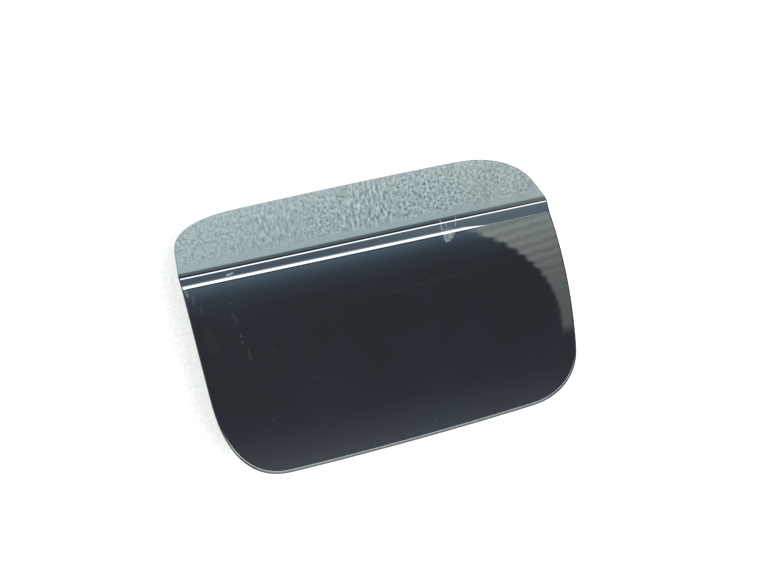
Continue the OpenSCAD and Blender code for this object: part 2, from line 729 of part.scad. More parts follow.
// Rubber buffers: a head under the pan, a stem through it and a button that holds it
buffer_stem_r = 2.4;
buffer_h = 4.5;
module buffer(place) {
    color([0.05, 0.05, 0.05]) {
        round_hole(place, buffer_r, pan_bottom - gap - buffer_h + 1, pan_bottom - gap);
        round_hole(place, buffer_r - 1.5, pan_bottom - gap - buffer_h, pan_bottom - gap - buffer_h + 1);
        round_hole(place, buffer_stem_r, pan_bottom - 0.5, pan_top + 0.5);
        round_hole(place, buffer_stem_r + 1.2, pan_top + gap, pan_top + 1.5);
    }
}
module buffer_front() { buffer(BUFFER_FRONT); }
module buffer_rear() { buffer(BUFFER_REAR); }

// Cap holder: a plate under the pan with an open cradle that the fuel cap is pushed into
holder_t = 1.8;
cradle_wall = 2;
cradle_open = 110;
lobe_r = 6;
ear_reach = cradle_r + cradle_wall + lobe_r;
lip_h = 0.8;
HOLDER_RIVETS = [for (s = [-1, 1]) CRADLE + [s * ear_reach, 0]];
module cap_holder() {
    low = arm_top - holder_t;
    color([0.09, 0.09, 0.10])
        difference() {
            union() {
                round_hole(CRADLE, cradle_r + cradle_wall + 1, low, arm_top);
                translate([CRADLE.x - ear_reach, CRADLE.y - lobe_r, low])
                    cube([2 * ear_reach, 2 * lobe_r, holder_t]);
                for (place = HOLDER_RIVETS)
                    round_hole(place, lobe_r, low, arm_top);
                translate([CRADLE.x, CRADLE.y, low - cradle_h])
                    rotate([0, 0, -90 + cradle_open / 2])
                        rotate_extrude(angle = 360 - cradle_open, $fn = 96)
                            polygon([
                                [cradle_r, cradle_h + 0.5], [cradle_r, 2 * lip_h], [cradle_r - lip_h, lip_h], [cradle_r, 0],
                                [cradle_r + cradle_wall, 0], [cradle_r + cradle_wall, cradle_h + 0.5]
                            ]);
            }
            round_hole(CRADLE, cradle_r * 0.55, low - 1, arm_top + 1);
            for (place = HOLDER_RIVETS)
                round_hole(place, rivet_r + gap, low - 1, arm_top + 1);
        }
}
module holder_rivets() {
    color([0.7, 0.71, 0.73])
        for (place = HOLDER_RIVETS)
            rivet(place, holder_t);
}

outer_skin();
inner_panel();
flutter_pad_1();
flutter_pad_2();
flutter_pad_3();
flutter_pad_4();
hinge_arm();
bush_front();
bush_rear();
arm_screws();
weld_nuts();
hinge_base();
sleeve_front();
sleeve_rear();
hinge_pin();
pin_clip();
torsion_spring();
stop_pad_front();
stop_pad_rear();
lock_striker();
striker_rivets();
buffer_front();
buffer_rear();
cap_holder();
holder_rivets();
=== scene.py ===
import math

import bpy
import numpy as np
from mathutils import Matrix, Vector


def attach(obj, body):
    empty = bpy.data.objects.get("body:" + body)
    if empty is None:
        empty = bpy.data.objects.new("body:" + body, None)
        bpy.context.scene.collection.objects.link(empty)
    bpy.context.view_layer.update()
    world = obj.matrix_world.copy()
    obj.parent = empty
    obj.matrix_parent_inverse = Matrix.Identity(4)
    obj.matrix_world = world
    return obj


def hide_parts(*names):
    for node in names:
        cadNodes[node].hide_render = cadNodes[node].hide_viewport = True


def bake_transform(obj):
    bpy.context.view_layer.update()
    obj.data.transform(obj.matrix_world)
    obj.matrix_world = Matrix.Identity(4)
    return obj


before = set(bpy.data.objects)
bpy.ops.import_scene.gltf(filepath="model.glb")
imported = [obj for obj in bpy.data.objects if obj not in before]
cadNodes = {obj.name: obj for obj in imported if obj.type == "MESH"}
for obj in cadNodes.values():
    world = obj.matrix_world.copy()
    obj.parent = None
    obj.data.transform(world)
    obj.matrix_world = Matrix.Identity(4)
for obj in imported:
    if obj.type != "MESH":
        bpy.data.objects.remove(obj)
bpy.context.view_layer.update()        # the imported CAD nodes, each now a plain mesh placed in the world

# Car fuel door, lying face up on a pale floor, as in the photograph.
# Sizes are millimetres in the dictionaries and metres in the meshes.
# X runs along the crease towards the hinge, Y to the rear strip, Z up out of the painted face.
scene = bpy.context.scene
mm = 0.001


def linearPart(value):
    # sRGB to linear, one channel
    return value / 12.92 if value <= 0.04045 else ((value + 0.055) / 1.055) ** 2.4


def hexColour(text):
    # "#rrggbb" in sRGB to a linear colour, opaque
    parts = [int(text[i:i + 2], 16) / 255 for i in (1, 3, 5)]
    return tuple(linearPart(part) for part in parts) + (1.0,)


def addNode(tree, kind, settings=None, inputs=None):
    # A shader node with its settings. Inputs come in order or by name, and each takes a value, another
    # node's output, or a node, which stands for its first output in use.
    node = tree.nodes.new("ShaderNode" + kind)
    for key, value in (settings or {}).items():
        setattr(node, key, value)
    for key, value in inputs.items() if isinstance(inputs, dict) else enumerate(inputs or ()):
        if isinstance(value, bpy.types.Node):
            value = next(output for output in value.outputs if output.enabled)
        if isinstance(value, bpy.types.NodeSocket):
            tree.links.new(value, node.inputs[key])
        else:
            node.inputs[key].default_value = value
    return node


def makeMesh(name, points, quads, slots, slotIndex=None, normals=None, sharpAngle=35):
    # Points in mm, and quads as rows of four indices, counter-clockwise seen from outside. Normals, if
    # given, are those of the surface's own formula.
    mesh = bpy.data.meshes.new(name)
    mesh.from_pydata((points * mm).tolist(), [], quads.tolist())
    for material in slots:
        mesh.materials.append(material)
    mesh.polygons.foreach_set("use_smooth", np.ones(len(quads), bool))
    if slotIndex is not None:
        mesh.polygons.foreach_set("material_index", slotIndex.astype(np.int32))
    mesh.set_sharp_from_angle(angle=math.radians(sharpAngle))
    if normals is not None:
        mesh.normals_split_custom_set_from_vertices(normals.tolist())
    mesh.update()
    piece = bpy.data.objects.new(name, mesh)
    scene.collection.objects.link(piece)
    return piece


def unit(vectors):
    # each vector divided by its length
    return vectors / np.linalg.norm(vectors, axis=-1, keepdims=True)


def blendStep(value, low, high):
    # 0 below low, 1 above high, smooth between
    share = ((value - low) / (high - low)).clip(0, 1)
    return share * share * (3 - 2 * share)


# Painted skin: one sheet of steel with a crease, hemmed round its edge
paintedSkin = {
    # outline: a four-sided shape with bowed edges and rounded corners; angles in degrees
    "rearWidth": 189.0, "depth": 148.5, "sideLean": 5.0, "frontSlope": 2.1, "rearSlope": 0.7,
    "bows": (1.8, 9.0, 1.8, 0.0), "bowReach": 60.0,     # front, right, rear, left; how far in they act
    "reaches": ((44, 29), (24.2, 23.2), (32, 33), (38, 28)),    # rounding along the last and the next edge
    "cornerShape": 2.6,                                 # 2 is an ellipse, more is squarer
    # section: strip, crease, flank, hollow foot and face
    "creaseBack": 28.5, "stripTilt": 27.5, "flankTilt": 19.0, "flankRise": 2.22, "creaseRadius": 6.0,
    "footRadius": 14.5, "footEndRadius": 0.25, "footFade": (48.5, 63.5),    # x where the foot tightens
    "footTurn": 8.0, "footTight": 0.15,                 # its last degrees, on this share of its radius
    "footShare": 0.046,                                 # its rise, as a share of its radius
    "creaseShift": 0.65, "shiftFrom": (-75.0, 55.0),    # drift to the rear, and x where it grows
    "crownRadius": 2500.0, "faceHeight": 24.6,
    # sheet and hem; the face lies a hair under the CAD's own, and the edge a little inside it
    "sheet": 0.7, "hemRadius": 1.05, "hemDepth": 2.1, "hemWidth": 8.0, "clear": 0.03, "edgeInset": 0.21,
    # mesh: steps round the outline, rows on the face, foot, flank, crease and strip, steps of the fold,
    # how the outer rows spread, and the gaps in mm between the groups of rows
    "cornerSteps": 48, "edgeSteps": 48, "faceRows": 46, "footRows": 34, "flankRows": 5, "creaseRows": 25,
    "stripRows": 28, "foldSteps": 14, "rowSpread": 1.25, "faceGap": 1.0, "footMargin": 0.1,
    "flankGaps": (0.4, 0.3), "stripGaps": (0.3, 0.6, 1.2), "slopeStep": 0.01,
}


def doorOutline(d):
    # Four corner points, each rounded by a superellipse: corner + a(1 - sin(t)^(2/n)) + b(1 - cos(t)^(2/n)),
    # joined by straight edges. Each edge then bows out by 4s(1 - s), fading with the distance from it.
    lean, slope = math.tan(math.radians(d["sideLean"])), math.tan(math.radians(d["frontSlope"]))
    width, depth = d["rearWidth"], d["depth"]
    rise = width / 2 * math.tan(math.radians(d["rearSlope"]))
    leftX = (-width / 2 + (depth - rise) * lean) / (1 + slope * lean)
    rightX = (width / 2 - (depth + rise) * lean) / (1 - slope * lean)
    corners = np.array([[leftX, -depth / 2 + leftX * slope], [rightX, -depth / 2 + rightX * slope],
                        [width / 2, depth / 2 + rise], [-width / 2, depth / 2 - rise]])
    toLast, toNext = unit(np.roll(corners, 1, 0) - corners), unit(np.roll(corners, -1, 0) - corners)
    turn = np.linspace(0, np.pi / 2, d["cornerSteps"] + 1)[None, :, None]
    reach = np.array(d["reaches"], float)[:, None, :, None]
    power = 2 / d["cornerShape"]
    arcs = (corners[:, None] + toLast[:, None] * reach[:, :, 0] * (1 - np.sin(turn) ** power)
            + toNext[:, None] * reach[:, :, 1] * (1 - np.cos(turn).clip(0) ** power))
    share = (np.arange(1, d["edgeSteps"]) / d["edgeSteps"])[None, :, None]
    edges = arcs[:, -1:] * (1 - share) + np.roll(arcs, -1, 0)[:, :1] * share
    points = np.concatenate([arcs, edges], 1).reshape(-1, 2)
    out = np.stack([toNext[:, 1], -toNext[:, 0]], 1)
    length = np.linalg.norm(np.roll(corners, -1, 0) - corners, axis=1)
    offset = points[:, None] - corners[None]
    along = ((offset * toNext[None]).sum(2) / length).clip(0, 1)
    away = -(offset * out[None]).sum(2)
    push = np.array(d["bows"]) * 4 * along * (1 - along) * (1 - away / d["bowReach"]).clip(0, 1) ** 2
    points = points + (push[:, :, None] * out[None]).sum(1)
    middle = (points.min(0) + points.max(0)) / 2
    return points - middle, middle


def outwardOf(loop):
    # unit vectors square to a closed loop, pointing out of it
    along = unit(np.roll(loop, -1, 0) - np.roll(loop, 1, 0))
    return np.stack([along[:, 1], -along[:, 0]], 1)


def creaseTangents(d, footRadius, shift=0.0):
    # Where strip, crease arc, flank, two foot arcs and face meet, from the crease's sharp point.
    # Each point is the one before it plus radius times the change of the slope's sine. A shift of the
    # crease to the rear flattens the flank, so that its foot stays where it is.
    strip, steep = math.radians(d["stripTilt"]), math.radians(d["flankTilt"])
    straightRise = d["flankRise"] - d["footShare"] * d["footRadius"]
    flank = np.arctan(1 / (1 / math.tan(steep) + shift / straightRise))
    arc = d["creaseRadius"]
    reach = arc * np.tan((strip + flank) / 2)
    stripStart = reach * math.cos(strip)
    centre = (stripStart - arc * math.sin(strip), -reach * math.sin(strip) - arc * math.cos(strip))
    turn, tight = math.radians(d["footTurn"]), footRadius * d["footTight"]
    footRise = tight * (1 - math.cos(turn)) + footRadius * (math.cos(turn) - np.cos(flank))
    flankFoot = (footRise - d["flankRise"]) / np.tan(flank)
    footMiddle = flankFoot - footRadius * (np.sin(flank) - math.sin(turn))
    faceEnd = footMiddle - tight * math.sin(turn)
    return (stripStart, -reach * np.cos(flank), flankFoot, footMiddle, faceEnd), centre, flank


def sectionHeight(d, x, y):
    # Height over the crease's sharp point: a falling strip with a slight crown, an arc, a straight flank,
    # two hollow arcs and the slightly crowned face. The hollow's radii shrink towards the right end,
    # where the crease also lies a little further back.
    foot = d["footRadius"] + (d["footEndRadius"] - d["footRadius"]) * blendStep(x, *d["footFade"])
    shift = d["creaseShift"] * blendStep(x, *d["shiftFrom"])
    (stripStart, flankTop, flankFoot, footMiddle, faceEnd), centre, flank = creaseTangents(d, foot, shift)
    y = y - shift
    crown, arc, tight = d["crownRadius"], d["creaseRadius"], foot * d["footTight"]
    turn = math.radians(d["footTurn"])
    onStrip = -math.tan(math.radians(d["stripTilt"])) * y - (y - stripStart) ** 2 / (2 * crown)
    onArc = centre[1] + np.sqrt(np.maximum(arc ** 2 - (y - centre[0]) ** 2, 0))
    onFlank = np.tan(flank) * y
    fromMiddle = foot * math.sin(turn) + y - footMiddle
    onFoot = (-d["flankRise"] + tight * (1 - math.cos(turn)) + foot * math.cos(turn)
              - np.sqrt(np.maximum(foot ** 2 - fromMiddle ** 2, 0)))
    onTight = -d["flankRise"] + tight - np.sqrt(np.maximum(tight ** 2 - (y - faceEnd) ** 2, 0))
    onFace = -d["flankRise"] - (y - faceEnd) ** 2 / (2 * crown)
    return np.where(y > stripStart, onStrip, np.where(y > flankTop, onArc, np.where(
        y > flankFoot, onFlank, np.where(y > footMiddle, onFoot, np.where(y > faceEnd, onTight, onFace)))))


def skinPoint(d, plan, depth):
    # A plan point lifted to the outer face, then moved by a depth along the face's own normal, which
    # stands square to the section's slope
    x, y, step = plan[..., 0], plan[..., 1] - d["creaseY"], d["slopeStep"]
    slope = (sectionHeight(d, x, y + step) - sectionHeight(d, x, y - step)) / (2 * step)
    normal = unit(np.stack([np.zeros_like(slope), -slope, np.ones_like(slope)], -1))
    height = d["faceHeight"] + d["flankRise"] + sectionHeight(d, x, y)
    return np.concatenate([plan, height[..., None]], -1) - (depth + d["clear"]) * normal, normal


def skinPlan(d, loop):
    # Rows from the front edge to the rear edge. The rows by the crease are straight; the others are a
    # patch between a straight row and the curved end: end row + side edges - bilinear corner part.
    side = d["cornerSteps"] + d["edgeSteps"]
    half, count = d["cornerSteps"] // 2, len(loop)
    steps = np.arange(side + 1)
    front, rights = loop[half + steps], loop[(half + side + steps) % count]
    rear, lefts = loop[(half + 3 * side - steps) % count], loop[(half - steps) % count]
    share = (steps / side)[None, :, None]

    def sidePoint(points, y):
        # where a side edge crosses the line y
        return np.stack([np.interp(y, points[:, 1], points[:, 0]), y], -1)

    def patch(endRow, bandY, blend):
        blend = blend[:, None, None]
        bandLeft, bandRight = (sidePoint(points, np.array(bandY)) for points in (lefts, rights))
        band = bandLeft * (1 - share) + bandRight * share
        left = sidePoint(lefts, (endRow[0, 1] * (1 - blend) + bandY * blend)[:, 0, 0])[:, None]
        right = sidePoint(rights, (endRow[-1, 1] * (1 - blend) + bandY * blend)[:, 0, 0])[:, None]
        corner = ((endRow[0] * (1 - blend) + bandLeft * blend) * (1 - share)
                  + (endRow[-1] * (1 - blend) + bandRight * blend) * share)
        return endRow[None] * (1 - blend) + band * blend + left * (1 - share) + right * share - corner

    (stripStart, flankTop, flankFoot, _, faceEnd), centre, _ = creaseTangents(d, d["footRadius"])
    turn = np.radians(np.linspace(-d["flankTilt"], d["stripTilt"], d["creaseRows"]))
    margin, (lowGap, highGap) = d["footMargin"], d["flankGaps"]
    rows = d["creaseY"] + np.concatenate([
        [faceEnd - d["faceGap"]], np.linspace(faceEnd - margin, flankFoot + margin, d["footRows"]),
        np.linspace(flankFoot + lowGap, flankTop - highGap, d["flankRows"]),
        centre[0] + d["creaseRadius"] * np.sin(turn), stripStart + np.array(d["stripGaps"])])
    band = sidePoint(lefts, rows)[:, None] * (1 - share) + sidePoint(rights, rows)[:, None] * share
    toBand = (np.arange(d["faceRows"]) / d["faceRows"]) ** d["rowSpread"]
    toRear = (np.arange(d["stripRows"] - 1, -1, -1) / d["stripRows"]) ** d["rowSpread"]
    return np.concatenate([patch(front, rows[0], toBand), band, patch(rear, rows[-1], toRear)])


def gridQuads(rows, cols):
    # the squares of a grid of points that are numbered row by row
    first = (np.arange(rows)[:, None] * (cols + 1) + np.arange(cols)[None]).reshape(-1)
    return np.stack([first, first + 1, first + cols + 2, first + cols + 1], 1)


def ringQuads(inner, outer):
    # the squares between two closed rings of as many points
    return np.stack([inner, outer, np.roll(outer, -1), np.roll(inner, -1)], 1)


def buildSkin(d, paint, coat):
    # Outer and inner side of one sheet, each a face, a half turn of the hem's radius about the edge and a
    # flat flange inwards. The inner side lies one sheet thickness deeper.
    outline, middle = doorOutline(d)
    d = {**d, "creaseY": d["creaseBack"] - middle[1]}
    loop = outline - outwardOf(outline) * (d["hemRadius"] + d["edgeInset"])
    plan = skinPlan(d, loop)
    rows, cols = plan.shape[0] - 1, plan.shape[1] - 1
    index = np.arange((rows + 1) * (cols + 1)).reshape(rows + 1, cols + 1)
    edge = np.concatenate([index[0, :-1], index[:-1, -1], index[-1, :0:-1], index[:0:-1, 0]])
    rim = plan.reshape(-1, 2)[edge]
    out = outwardOf(rim)
    base, normal = skinPoint(d, rim, d["hemRadius"])
    flat = np.concatenate([out, np.zeros((len(out), 1))], 1)
    side = unit(flat - (flat * normal).sum(1, keepdims=True) * normal)
    turns = np.pi * np.arange(1, d["foldSteps"] + 1)[:, None, None] / d["foldSteps"]

    def sideOf(depth, radius, flangeDepth):
        # points and normals of one side: the face, then the fold's rings, the last one on the flange
        face, faceNormal = skinPoint(d, plan, depth)
        spoke = np.cos(turns) * normal[None] + np.sin(turns) * side[None]
        flange, flangeNormal = skinPoint(d, rim - out * d["hemWidth"], flangeDepth)
        points = [face.reshape(-1, 3), (base[None] + radius * spoke).reshape(-1, 3), flange]
        normals = [faceNormal.reshape(-1, 3), spoke.reshape(-1, 3), -flangeNormal]
        return np.concatenate(points), np.concatenate(normals)

    upper, upperNormal = sideOf(0, d["hemRadius"], d["hemDepth"])
    lower, lowerNormal = sideOf(d["sheet"], d["hemRadius"] - d["sheet"], d["hemDepth"] - d["sheet"])
    folds = np.arange(d["foldSteps"] + 1)[:, None] * len(edge) + np.arange(len(edge))
    rings = [edge, *(index.size + folds)]
    walls = [ringQuads(inner, outer) for inner, outer in zip(rings, rings[1:])]
    outside = np.concatenate([gridQuads(rows, cols), *walls])
    close = ringQuads(rings[-1], rings[-1] + len(upper))
    quads = np.concatenate([outside, outside[:, ::-1] + len(upper), close])
    slotIndex = np.concatenate([np.zeros(len(outside)), np.ones(len(outside) + len(close))])
    return makeMesh("paintedSkin", np.concatenate([upper, lower]), quads, [paint, coat], slotIndex,
                    np.concatenate([upperNormal, -lowerNormal]))


# Return spring: a wire wound round the pin, one leg in the base, one in the arm
returnSpring = {
    "pivot": (75.2496, -5.50625, 11.4),         # the pin's axis runs along Y through this point
    "coilRadius": 3.2, "wireRadius": 0.58, "turns": 5, "halfLength": 7.0,
    "lowEnd": 0.85, "highEnd": 16.95,           # the heights at which the legs end
    "bend": 1.5, "bendCorner": 0.2,             # how far from the axis a leg's bend starts, and its corner
    "stepsPerTurn": 40, "around": 14, "legRows": 8, "bendRows": 10,
    "skipped": 4,                               # coil points that each bend takes the place of
    "unrolled": 30,                             # the wire's length on its UV map, where once round is 1
}


def buildSpring(d, material):
    # Centreline: a straight leg up, a helix round the pin's axis, a straight leg up. Each bend is a Bezier
    # curve. A circle is carried along it, square to the path.
    pivot = np.array(d["pivot"])
    r, half = d["coilRadius"], d["halfLength"]
    turn = np.linspace(0, 2 * np.pi * d["turns"], d["turns"] * d["stepsPerTurn"] + 1)
    helix = np.stack([-r * np.cos(turn), -half + 2 * half * turn / turn[-1], r * np.sin(turn)], 1)
    lowEnd, highEnd = d["lowEnd"] - pivot[2], d["highEnd"] - pivot[2]
    skip, rows, corner = d["skipped"], d["legRows"], d["bendCorner"]

    def bend(start, control, end):
        # quadratic Bezier curve, without its two ends
        t = np.linspace(0, 1, d["bendRows"])[1:-1, None]
        return (1 - t) ** 2 * start + 2 * t * (1 - t) * np.array(control) + t * t * end

    lowTop, highLow = np.array([-r, -half, -d["bend"]]), np.array([-r, half, d["bend"]])
    path = np.concatenate([
        np.linspace([-r, -half, lowEnd], lowTop, rows), bend(lowTop, [-r, -half, -corner], helix[skip]),
        helix[skip:-skip], bend(helix[-1 - skip], [-r, half, corner], highLow),
        np.linspace(highLow, [-r, half, highEnd], rows)])
    along = unit(np.gradient(path, axis=0))
    side = unit(np.cross(along, [0.0, 1.0, 0.0]))
    other = np.cross(along, side)
    count, n = len(path), d["around"]
    angle = (2 * np.pi * np.arange(n) / n)[None, :, None]
    ring = np.cos(angle) * side[:, None] + np.sin(angle) * other[:, None]
    points = (path[:, None] + d["wireRadius"] * ring).reshape(-1, 3) + pivot
    k, s = np.meshgrid(np.arange(count - 1), np.arange(n), indexing="ij")
    a, b = k * n + s, k * n + (s + 1) % n
    quads = np.stack([a, b, b + n, a + n], -1).reshape(-1, 4)
    # the cut ends: quads that share a point in the middle
    points = np.concatenate([points, path[[0, -1]] + pivot])
    two, last = np.arange(0, n, 2), (count - 1) * n
    startCap = np.stack([two, np.full(len(two), count * n), (two + 2) % n, two + 1], 1)
    endCap = np.stack([last + two, last + two + 1, last + (two + 2) % n, np.full(len(two), count * n + 1)], 1)
    piece = makeMesh("returnSpring", points, np.concatenate([quads, startCap, endCap]), [material])
    layer = piece.data.uv_layers.new(name="alongWire")
    loops = np.empty(len(piece.data.loops), np.int32)
    piece.data.loops.foreach_get("vertex_index", loops)
    unrolled = np.stack([(loops % n) / n, loops // n / count * d["unrolled"]], 1)
    layer.data.foreach_set("uv", unrolled.astype(np.float32).ravel())
    return piece


def startMaterial(name):
    # an empty node material
    material = bpy.data.materials.new(name)
    material.use_nodes = True
    material.node_tree.nodes.clear()
    return material, material.node_tree


def placeInMm(tree):
    # the object's own coordinates, in millimetres
    place = addNode(tree, "TexCoord").outputs["Object"]
    return addNode(tree, "VectorMath", scaled, {0: place, "Scale": 1 / mm})


# settings that many nodes share; a Mix of colours takes its share at input 0, its colours at 6 and 7
smooth, colours, scaled = {"interpolation_type": "SMOOTHSTEP"}, {"data_type": "RGBA"}, {"operation": "SCALE"}
multiply, add, greatest = {"operation": "MULTIPLY"}, {"operation": "ADD"}, {"operation": "MAXIMUM"}
# where a noise goes over from one look to the other: blotches, specks, roughness
blotchFade, speckFade, roughFade = (0.35, 0.65), (0.62, 0.72), (0.3, 0.7)


def strokeMask(tree, flatPlace, mark, fade):
    # 1 along a stroke, fading out at its sides: distance to the nearest point of the segment from a to b
    ax, ay, bx, by, halfWidth = mark
    along = np.array([bx - ax, by - ay])
    offset = addNode(tree, "VectorMath", {"operation": "SUBTRACT"}, [flatPlace, (ax, ay, 0)])
    perLength = (*(along / (along @ along)), 0)
    share = addNode(tree, "VectorMath", {"operation": "DOT_PRODUCT"}, [offset, perLength])
    held = addNode(tree, "Clamp", None, [share])
    nearest = addNode(tree, "VectorMath", scaled, {0: (*along, 0), "Scale": held})
    gap = addNode(tree, "VectorMath", {"operation": "DISTANCE"}, [offset, nearest])
    return addNode(tree, "MapRange", smooth, [gap, fade[0] * halfWidth, fade[1] * halfWidth, 1.0, 0.0])


glossPaint = {
    "base": "#0a0a0b", "film": "#0d1014", "scuff": "#d5dee2", "dust": "#8d969c",
    "filmMm": 26.0, "filmFade": (0.35, 0.7),            # faint wiped film on the coat
    "peelMm": 3.0, "peelHeight": 0.0006,                # orange peel
    "coatRough": 0.02, "coatIor": 1.5,
    # dust nibs: cell size, radius, share of bare cells, strength; and the solid share of a nib
    "nibs": ((17.0, 0.3, 0.8, 0.3), (6.0, 0.2, 0.93, 0.16)), "nibCore": 0.4,
    # scuffs and scratches on the face: start x, y, end x, y, half width, strength
    "scuffs": (
        # the pale scuff by the crease: its body, its outline, a smudge above it and three hairs
        (39.6, 22.0, 43.5, 21.2, 0.85, 0.55), (39.5, 20.5, 42.3, 20.0, 0.9, 0.5),
        (39.4, 19.1, 41.0, 18.9, 0.75, 0.5), (39.07, 22.7, 39.03, 19.1, 0.4, 0.6),
        (39.03, 19.1, 39.6, 17.9, 0.45, 0.6), (44.7, 22.0, 43.4, 19.8, 0.35, 0.4),
        (43.4, 19.8, 41.2, 18.2, 0.4, 0.5), (41.2, 18.2, 39.6, 17.9, 0.45, 0.6),
        (39.5, 24.3, 43.6, 24.2, 1.0, 0.13), (39.1, 29.4, 38.7, 24.4, 0.4, 0.5),
        (41.3, 27.1, 41.5, 25.2, 0.3, 0.3), (47.2, 29.5, 45.9, 25.0, 0.3, 0.45),
        # rubbed places at the left
        (-69.9, 24.6, -67.0, 25.1, 0.65, 0.6), (-91.3, 22.9, -90.1, 17.9, 0.7, 0.27),
        (-70.4, 9.7, -70.3, 9.3, 0.8, 0.06), (-70.6, 3.7, -68.9, -0.6, 1.1, 0.035),
        (-68.7, -7.7, -68.6, -8.9, 0.5, 0.09), (-68.4, -10.9, -68.3, -11.8, 0.5, 0.08),
        (-66.3, -16.2, -66.1, -20.4, 1.0, 0.04), (-87.8, 17.3, -87.8, 13.5, 0.9, 0.06),
        (-84.8, 10.8, -84.6, 7.9, 0.9, 0.045), (-83.6, -4.7, -81.8, -11.7, 3.6, 0.012),
        # the long faint scratch
        (3.4, -2.8, 46.8, -0.5, 0.5, 0.014),
    ),
    "strokeFade": (0.2, 1.15),                          # a stroke's sides, as shares of its half width
    "wornMm": 0.8, "wornFade": (0.32, 0.72, 0.1, 1.1),  # what breaks the strokes up
    "outerFrom": (0.2, 0.5),                            # upward part of the normal where they start
}


def glossBlackPaint(d):
    # Sprayed black base coat under clear coat: a deep black with mirror gloss, a very fine orange peel,
    # a few dust nibs, a faint wiped film, and pale scuffs where something knocked the crease.
    material, tree = startMaterial("glossBlackPaint")
    place = placeInMm(tree)
    flat = addNode(tree, "VectorMath", multiply, [place, (1, 1, 0)])
    film = addNode(tree, "TexNoise", None, {
        "Vector": place, "Scale": 1 / d["filmMm"], "Detail": 3.0, "Roughness": 0.55})
    share = addNode(tree, "MapRange", smooth, [film, *d["filmFade"]])
    colour = addNode(tree, "Mix", colours, {0: share, 6: hexColour(d["base"]), 7: hexColour(d["film"])})
    nibs = 0.0
    for cell, radius, bare, strength in d["nibs"]:
        dots = addNode(tree, "TexVoronoi", {"voronoi_dimensions": "2D"}, {"Vector": flat, "Scale": 1 / cell})
        edge = d["nibCore"] * radius / cell, radius / cell
        near = addNode(tree, "MapRange", smooth, [dots, *edge, strength, 0.0])
        chosen = addNode(tree, "Math", {"operation": "GREATER_THAN"}, [dots.outputs["Color"], bare])
        nibs = addNode(tree, "Math", greatest, [addNode(tree, "Math", multiply, [near, chosen]), nibs])
    colour = addNode(tree, "Mix", colours, {0: nibs, 6: colour, 7: hexColour(d["dust"])})
    scuffed = 0.0
    for *mark, strength in d["scuffs"]:
        mask = strokeMask(tree, flat, mark, d["strokeFade"])
        stroke = addNode(tree, "Math", multiply, [mask, strength])
        scuffed = addNode(tree, "Math", greatest, [stroke, scuffed])
    # the marks are broken up, and lie only on the outer face, not on the hem under it
    worn = addNode(tree, "TexNoise", None, {
        "Vector": place, "Scale": 1 / d["wornMm"], "Detail": 4.0, "Roughness": 0.75})
    broken = addNode(tree, "MapRange", None, [worn, *d["wornFade"]])
    facing = addNode(tree, "SeparateXYZ", None, [addNode(tree, "TexCoord").outputs["Normal"]])
    outer = addNode(tree, "MapRange", smooth, [facing.outputs["Z"], *d["outerFrom"]])
    scuffed = addNode(tree, "Math", multiply, [scuffed, addNode(tree, "Math", multiply, [broken, outer])])
    colour = addNode(tree, "Mix", colours, {0: scuffed, 6: colour, 7: hexColour(d["scuff"])})
    peel = addNode(tree, "TexNoise", None, {
        "Vector": place, "Scale": 1 / d["peelMm"], "Detail": 1.5, "Roughness": 0.4})
    bump = addNode(tree, "Bump", None, {"Height": peel, "Strength": 1.0, "Distance": d["peelHeight"] * mm})
    # the coat carries the gloss, so the base coat under it has none of its own
    shader = addNode(tree, "BsdfPrincipled", None, {
        "Base Color": colour, "Roughness": 0.5, "Specular IOR Level": 0.0, "Coat Weight": 1.0,
        "Coat Roughness": d["coatRough"], "Coat IOR": d["coatIor"], "Normal": bump, "Coat Normal": bump})
    addNode(tree, "OutputMaterial", None, {"Surface": shader})
    return material


def grainMaterial(name, d):
    # A surface with blotches of two colours, a roughness that varies with them, and a fine grain in relief
    material, tree = startMaterial(name)
    place = placeInMm(tree)
    if "stretch" in d:
        place = addNode(tree, "VectorMath", multiply, [place, d["stretch"]])
    blotch = addNode(tree, "TexNoise", None, {
        "Vector": place, "Scale": 1 / d["blotchMm"], "Detail": 4.0, "Roughness": 0.6})
    grain = addNode(tree, "TexNoise", None, {
        "Vector": place, "Scale": 1 / d["grainMm"], "Detail": 3.0, "Roughness": 0.6})
    share = addNode(tree, "MapRange", smooth, [blotch, *blotchFade])
    colour = addNode(tree, "Mix", colours, {0: share, 6: hexColour(d["colour"]), 7: hexColour(d["second"])})
    if "specks" in d:
        speck = addNode(tree, "MapRange", smooth, [grain, *speckFade, 0.0, d["speckShare"]])
        colour = addNode(tree, "Mix", colours, {0: speck, 6: colour, 7: hexColour(d["specks"])})
    rough = addNode(tree, "MapRange", smooth, [blotch, *roughFade, *d["rough"]])
    bump = addNode(tree, "Bump", None, {"Height": grain, "Strength": 1.0, "Distance": d["grainHeight"] * mm})
    shader = addNode(tree, "BsdfPrincipled", None, {
        "Base Color": colour, "Roughness": rough, "Metallic": d.get("metallic", 0.0),
        "Specular IOR Level": d.get("specular", 0.5), "Normal": bump})
    addNode(tree, "OutputMaterial", None, {"Surface": shader})
    return material


# Electrocoat on pressed steel: an even satin black-grey with a fine orange peel and drip marks
pressedCoat = {
    "colour": "#191b1d", "second": "#222528", "blotchMm": 18.0, "grainMm": 0.8, "grainHeight": 0.008,
    "rough": (0.38, 0.5), "specks": "#34383b", "speckShare": 0.3, "specular": 0.4}
# The same coat on the thicker hinge arm: darker, with a coarser shot-blasted ground
armCoat = {
    "colour": "#131415", "second": "#1b1c1e", "blotchMm": 9.0, "grainMm": 0.5, "grainHeight": 0.018,
    "rough": (0.42, 0.56), "specks": "#303234", "speckShare": 0.35, "specular": 0.4}
